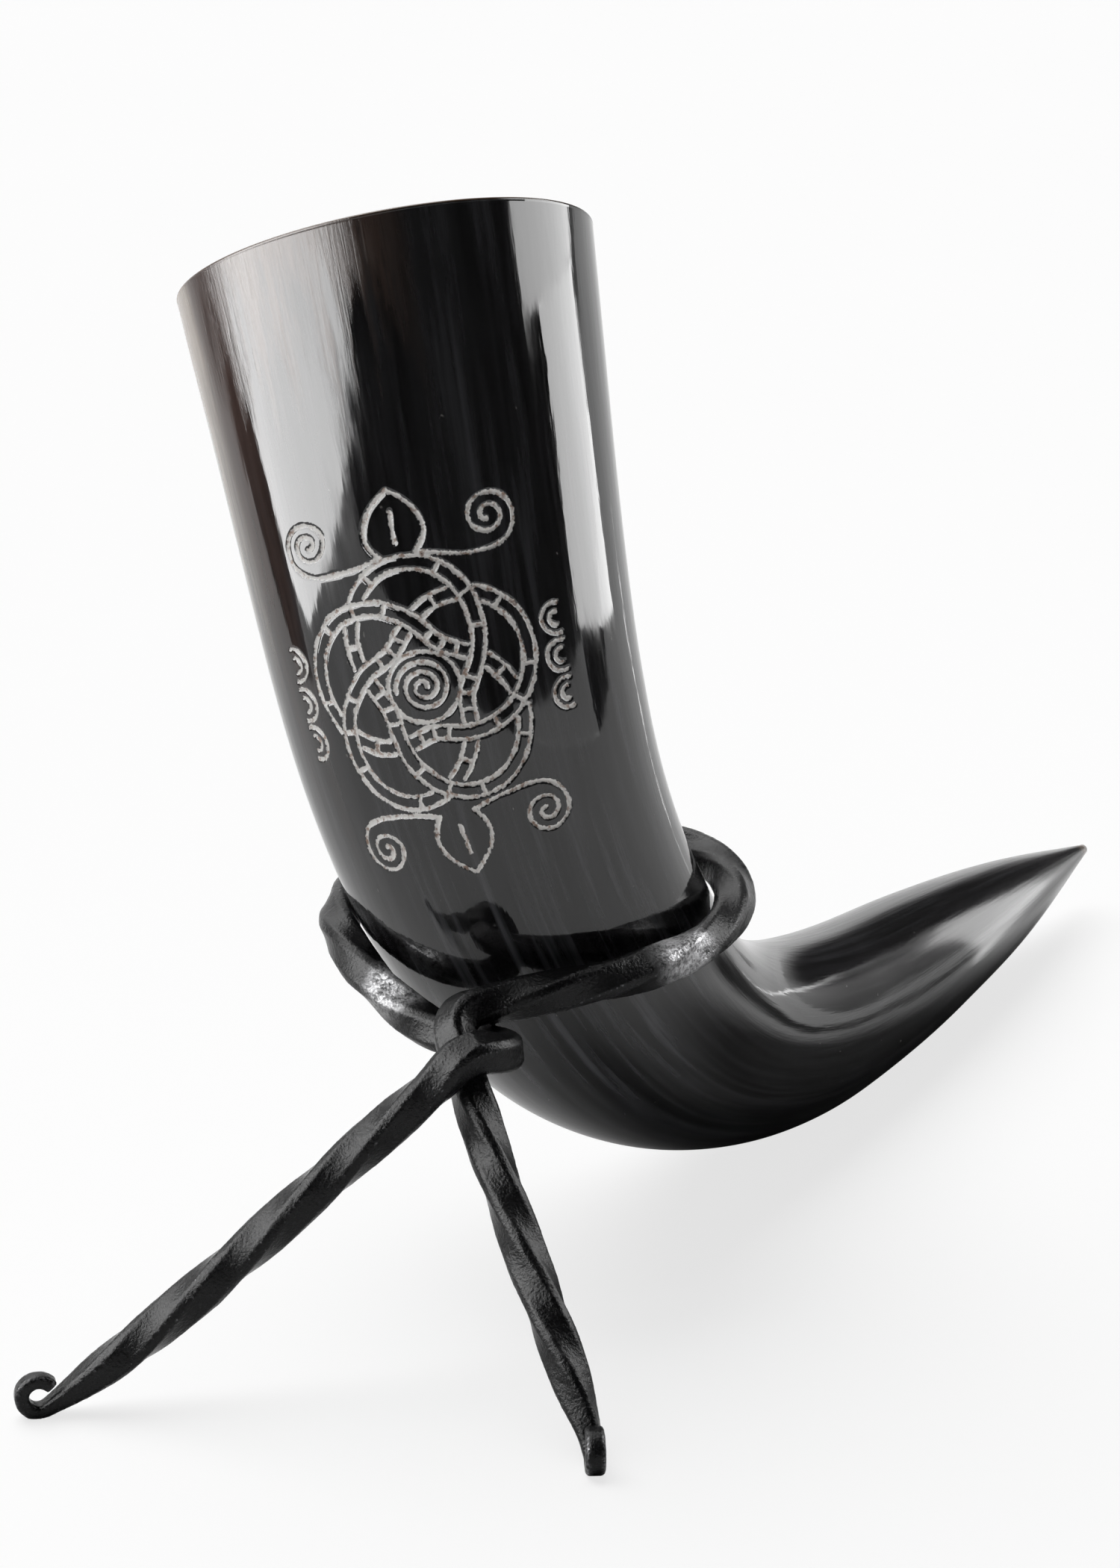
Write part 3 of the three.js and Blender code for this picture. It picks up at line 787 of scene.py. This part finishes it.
# The nodes of a material or a world
class Nodes:
    def __init__(self, owner):
        owner.use_nodes = True
        self.owner = owner
        self.tree = owner.node_tree
        self.shader = self.tree.nodes.get("Principled BSDF")

    def add(self, kind, **settings):
        node = self.tree.nodes.new(kind)
        for key, value in settings.items():
            setattr(node, key, value)
        return node

    def feed(self, socket, value):
        if isinstance(value, bpy.types.NodeSocket):
            self.tree.links.new(value, socket)
        else:
            socket.default_value = value

    # Values for the shader's sockets, whose names are written with _ for each space
    def shade(self, **values):
        for name, value in values.items():
            self.feed(self.shader.inputs[name.replace("_", " ")], value)

    def matt(self, colour):
        self.shade(Base_Color=colour, Roughness=MATT_ROUGHNESS, Specular_IOR_Level=MATT_SHINE)

    def attribute(self, name, output="Fac"):
        return self.add("ShaderNodeAttribute", attribute_name=name).outputs[output]

    def coordinate(self, name):
        return self.add("ShaderNodeTexCoord").outputs[name]

    def raw_noise(self, place, pattern):
        mapping = self.add("ShaderNodeMapping")
        self.feed(mapping.inputs["Vector"], place)
        mapping.inputs["Scale"].default_value = (pattern.around, pattern.around, pattern.along)
        node = self.add("ShaderNodeTexNoise")
        self.feed(node.inputs["Vector"], mapping.outputs["Vector"])
        node.inputs["Scale"].default_value = 1
        node.inputs["Detail"].default_value = pattern.detail
        node.inputs["Roughness"].default_value = pattern.roughness
        return node.outputs["Fac"]

    def span(self, value, low, high, to_low=0.0, to_high=1.0):
        node = self.add("ShaderNodeMapRange", interpolation_type="SMOOTHSTEP")
        self.feed(node.inputs["Value"], value)
        node.inputs["From Min"].default_value = low
        node.inputs["From Max"].default_value = high
        node.inputs["To Min"].default_value = to_low
        node.inputs["To Max"].default_value = to_high
        return node.outputs["Result"]

    # The span of a pattern's noise that shows
    def shown(self, value, pattern, to_low=0.0, to_high=1.0):
        return self.span(value, pattern.low, pattern.high, to_low, to_high)

    def pattern(self, place, pattern, to_low=0.0, to_high=1.0):
        return self.shown(self.raw_noise(place, pattern), pattern, to_low, to_high)

    def calculate(self, operation, first, second):
        node = self.add("ShaderNodeMath", operation=operation)
        self.feed(node.inputs[0], first)
        self.feed(node.inputs[1], second)
        return node.outputs[0]

    def times(self, first, second):
        return self.calculate("MULTIPLY", first, second)

    def plus(self, first, second):
        return self.calculate("ADD", first, second)

    def larger(self, first, second):
        return self.calculate("MAXIMUM", first, second)

    # A number from two vectors
    def measure(self, operation, first, second=(0, 0, 0)):
        node = self.add("ShaderNodeVectorMath", operation=operation)
        self.feed(node.inputs[0], first)
        self.feed(node.inputs[1], second)
        return node.outputs["Value"]

    # One at an angle round the horn, falling to nothing at a reach to each side of it
    def side(self, place, angle, reach):
        turn = math.radians(angle)
        way = (math.cos(turn) / PANEL_RADIUS, math.sin(turn) / PANEL_RADIUS, 0)
        return self.span(self.measure("DOT_PRODUCT", place, way), math.cos(math.radians(reach)), 1)

    def mix_numbers(self, share, first, second):
        node = self.add("ShaderNodeMix", data_type="FLOAT")
        self.feed(node.inputs["Factor"], share)
        self.feed(node.inputs["A"], first)
        self.feed(node.inputs["B"], second)
        return node.outputs["Result"]

    def mix(self, share, first, second):
        node = self.add("ShaderNodeMix", data_type="RGBA")
        self.feed(node.inputs["Factor"], share)
        for name, value in (("A", first), ("B", second)):
            socket = next(item for item in node.inputs if item.name == name and item.type == "RGBA")
            self.feed(socket, value if isinstance(value, bpy.types.NodeSocket) else (*value, 1))
        return next(item for item in node.outputs if item.type == "RGBA")

    def bump(self, height, strength, depth, normal=None):
        node = self.add("ShaderNodeBump")
        self.feed(node.inputs["Height"], height)
        node.inputs["Strength"].default_value = strength
        node.inputs["Distance"].default_value = depth * MM
        if normal is not None:
            self.feed(node.inputs["Normal"], normal)
        return node.outputs["Normal"]


def new_material(name):
    return Nodes(bpy.data.materials.new(name))


# Dark horn with grey fibres and a veil of streaks, lighter growth by the mouth, a pale band down the left
# side that is partly a painted highlight, and a tinted rim and tip
def horn_colour(make, place, along, depth, fibres):
    streak = make.times(fibres, make.pattern(place, CLOUDS, *CLOUD_STRENGTH))
    colour = make.mix(streak, HORN_DARK, FIBRE_GREY)
    veil = make.times(make.pattern(place, VEIL), make.span(along, *VEIL_RISE))
    veil = make.times(veil, make.span(along, *VEIL_FALL))
    colour = make.mix(veil, colour, VEIL_GREY)
    colour = make.mix(make.pattern(place, DUST), colour, DUST_GREY)
    # Each zone mixes in its colour; the pale band down the left side is partly a painted highlight
    for angle, reach, length, tone in MOUTH_ZONES_AND_EDGE_HIGHLIGHT:
        zone = make.times(make.side(place, angle, reach), make.span(depth, length, 0))
        colour = make.mix(zone, colour, tone)
    colour = make.mix(make.span(along, *RIM_TINT), colour, RIM_BROWN)
    return make.mix(make.span(along, *TIP_TINT), colour, TIP_PALE)


def horn_material():
    make = new_material("polished_horn")
    place = make.attribute("grain_place", "Vector")
    parts = make.add("ShaderNodeSeparateXYZ")
    make.feed(parts.inputs[0], place)
    along = parts.outputs["Z"]
    depth = make.plus(along, make.pattern(place, RAGGED_EDGE, -RAGGED_REACH, RAGGED_REACH))
    fibres = make.pattern(place, FIBRES)

    chatter = make.pattern(place, CUT_CHATTER, -CHATTER_REACH, CHATTER_REACH)
    edge = make.plus(make.attribute("line_distance"), chatter)
    engraved = make.span(edge, LINE_HALF_WIDTH + CUT_FADE_OUT, LINE_HALF_WIDTH - CUT_FADE_IN)
    scored = make.mix(make.pattern(place, CUT_SPECKS), CUT_PALE, CUT_BROWN)
    make.shade(Base_Color=make.mix(engraved, horn_colour(make, place, along, depth, fibres), scored))

    hairs = make.raw_noise(place, SANDED_HAIRS)
    by_mouth = make.side(place, SANDED_ANGLE, SANDED_REACH)
    by_mouth = make.times(by_mouth, make.span(depth, SANDED_FROM, SANDED_FULL))
    sanded = make.times(by_mouth, make.shown(hairs, SANDED_HAIRS, *SANDED_ROUGHNESS))
    polished = make.plus(make.pattern(place, WIPES, *WIPED_ROUGHNESS), sanded)
    polished = make.plus(polished, make.span(along, *TAIL_HAZE))
    make.shade(Roughness=make.mix_numbers(engraved, polished, CUT_ROUGHNESS), IOR=HORN_IOR)

    normal = make.bump(make.raw_noise(place, RIPPLES), *RIPPLE_BUMP)
    normal = make.bump(fibres, *FIBRE_BUMP, normal)
    make.shade(Normal=make.bump(make.times(hairs, by_mouth), *SANDED_BUMP, normal))
    return make.owner


def coat_material():
    make = new_material("sealing_coat")
    place = make.attribute("grain_place", "Vector")
    streak = make.raw_noise(place, COAT_STREAKS)
    cloud = make.raw_noise(place, COAT_CLOUDS)
    colour = make.mix(make.shown(streak, COAT_STREAKS), COAT_DARK, COAT_LIGHT)
    make.shade(Base_Color=make.mix(make.shown(cloud, COAT_CLOUDS), colour, COAT_STAIN))
    make.shade(Roughness=make.span(cloud, *COAT_ROUGHNESS), Normal=make.bump(streak, *COAT_BUMP))
    make.shade(Coat_Weight=COAT_GLAZE, Coat_Roughness=COAT_GLAZE_ROUGHNESS)
    return make.owner


# Black iron, worn to metal on its ridges, with a pale painted highlight at two spots of the ring
def iron_material():
    make = new_material("forged_iron")
    place = make.coordinate("Object")
    grain = make.raw_noise(place, IRON_GRAIN)
    pits = make.raw_noise(place, IRON_PITS)
    patches = make.raw_noise(place, IRON_PATCHES)
    worn = make.times(make.attribute("wear"), make.shown(patches, IRON_PATCHES))
    rubbed = make.times(worn, make.span(grain, *RUBBED_GRAIN))
    # A pale, half-metal painted highlight at the ring's spots, broken up by grain and pits
    highlight_smear = make.span(make.plus(grain, pits), *PAINTED_HIGHLIGHT_GRAIN)
    painted_highlight_share = make.times(make.attribute("painted_highlight"), highlight_smear)
    colour = make.mix(make.shown(grain, IRON_GRAIN), IRON_DARK, IRON_GREY)
    colour = make.mix(rubbed, colour, IRON_WORN)
    make.shade(Base_Color=make.mix(painted_highlight_share, colour, IRON_PAINTED_HIGHLIGHT))
    make.shade(Metallic=make.larger(rubbed, make.times(painted_highlight_share, PAINTED_HIGHLIGHT_METALLIC)))
    make.shade(Roughness=make.span(patches, *IRON_ROUGHNESS), Specular_IOR_Level=IRON_SHINE)
    make.shade(Normal=make.bump(grain, *GRAIN_BUMP, make.bump(pits, *PIT_BUMP)))
    return make.owner


# The floor mostly glows white for the camera, and away from the object for reflections too
# Reflections also show spots of painted shade, where the floor's colour is darkened near the object
def floor_material():
    make = new_material("studio_floor")
    place = make.coordinate("Object")
    path = make.add("ShaderNodeLightPath").outputs
    colour = make.mix(make.raw_noise(place, FLOOR_CLOUDS), FLOOR_PALE, FLOOR_PALER)
    # Painted shade: the floor's colour darkened at each spot, for reflected rays only
    for middle, core, reach in PAINTED_SHADE_SPOTS:
        shade = make.span(make.measure("DISTANCE", place, Vector(middle) * MM), reach * MM, core * MM)
        colour = make.mix(make.times(path["Is Glossy Ray"], shade), colour, PAINTED_SHADE_TONE)
    make.matt(colour)
    away = make.span(make.measure("LENGTH", place), GLOW_NEAR * MM, GLOW_FAR * MM)
    mirrored = make.larger(path["Is Glossy Ray"], path["Is Transmission Ray"])
    seen = make.larger(path["Is Camera Ray"], make.times(mirrored, away))
    blend = make.add("ShaderNodeMixShader")
    make.feed(blend.inputs[0], make.times(seen, FLOOR_GLOW))
    make.feed(blend.inputs[1], make.shader.outputs["BSDF"])
    make.feed(blend.inputs[2], make.add("ShaderNodeEmission").outputs["Emission"])
    make.feed(make.tree.nodes["Material Output"].inputs["Surface"], blend.outputs["Shader"])
    return make.owner


def card_material():
    make = new_material("black_card")
    make.matt(make.mix(make.raw_noise(make.coordinate("Object"), CARD_CLOUDS), CARD_BLACK, CARD_LESS_BLACK))
    return make.owner


# Studio


def flat_mesh(name, corners, material):
    mesh = bpy.data.meshes.new(name)
    mesh.from_pydata([Vector(corner) * MM for corner in corners], [], [(0, 1, 2, 3)])
    mesh.materials.append(material)
    return mesh


def add_floor():
    reach = FLOOR_REACH
    corners = [(-reach, -reach, 0), (reach, -reach, 0), (reach, reach, 0), (-reach, reach, 0)]
    floor = add_object("floor", flat_mesh("floor", corners, floor_material()))


# A black card lies on the floor to the left of the object, where only reflections show it
def add_card():
    card = add_object("black_card", flat_mesh("black_card", CARD_CORNERS, card_material()))
    card.visible_camera = False
    card.visible_diffuse = False
    card.visible_shadow = False


# A softbox rises from its lower edge and faces the object, and only reflections show it
def add_softbox(name, start, end, height, light):
    start, end = Vector(start) * MM, Vector(end) * MM
    along = (end - start).normalized()
    facing = along.cross(Vector((0, 0, 1))).normalized()
    if facing.dot(start + end) > 0:
        facing, along = -facing, -along
    upward = facing.cross(along)
    data = bpy.data.lights.new(name, "AREA")
    data.shape = "RECTANGLE"
    data.size, data.size_y = (end - start).length, height * MM
    data.energy = light * math.pi * data.size * data.size_y
    lamp = add_object(name, data)
    lamp.location = (start + end) / 2 + upward * (height / 2 * MM)
    lamp.rotation_euler = Matrix((along, -upward, -facing)).transposed().to_euler()
    lamp.visible_camera = False
    lamp.visible_diffuse = False


# Daylight from above and from behind, with a dark gap in it and the dim room on the camera's side
def add_world():
    world = bpy.data.worlds.new("studio")
    bpy.context.scene.world = world
    make = Nodes(world)
    way = make.coordinate("Generated")
    back = make.span(make.measure("DOT_PRODUCT", way, BACK_WAY), *BACK_SPAN, ROOM_LIGHT, BACK_LIGHT)
    gap = make.span(make.measure("DOT_PRODUCT", way, GAP_WAY), *GAP_SPAN, BACK_LIGHT, ROOM_LIGHT)
    key = make.span(make.measure("DOT_PRODUCT", way, KEY_WAY), *KEY_SPAN, ROOM_LIGHT, KEY_LIGHT)
    light = make.larger(make.calculate("MINIMUM", back, gap), key)
    seen = make.add("ShaderNodeLightPath").outputs["Is Camera Ray"]
    sky = make.tree.nodes["Background"]
    sky.inputs["Color"].default_value = (1, 1, 1, 1)
    make.feed(sky.inputs["Strength"], make.mix_numbers(seen, light, WHITE_LIGHT))


def add_camera():
    data = bpy.data.cameras.new("camera")
    data.sensor_width = SENSOR
    data.lens = FOCAL_PIXELS * SENSOR / PHOTO_HEIGHT
    camera = add_object("camera", data)
    lift = math.radians(CAMERA_ELEVATION)
    back = Vector((0, -math.cos(lift), math.sin(lift)))
    camera.location = (Vector(CAMERA_TARGET) + back * CAMERA_DISTANCE) * MM
    camera.rotation_euler = (-back).to_track_quat("-Z", "Y").to_euler()
    bpy.context.scene.camera = camera


add_camera()
add_world()
for softbox in SOFTBOXES:
    add_softbox(*softbox)
add_floor()
add_card()
add_piece("horn", horn_mesh(), "horn", "horn_shell", horn_material())
add_piece("sealing_coat", coat_mesh(), "horn", "inner_sealing_coat", coat_material())
add_piece("stand", stand_mesh(), "stand", "stand_bar", iron_material())

bpy.context.scene.view_settings.view_transform = "Standard"
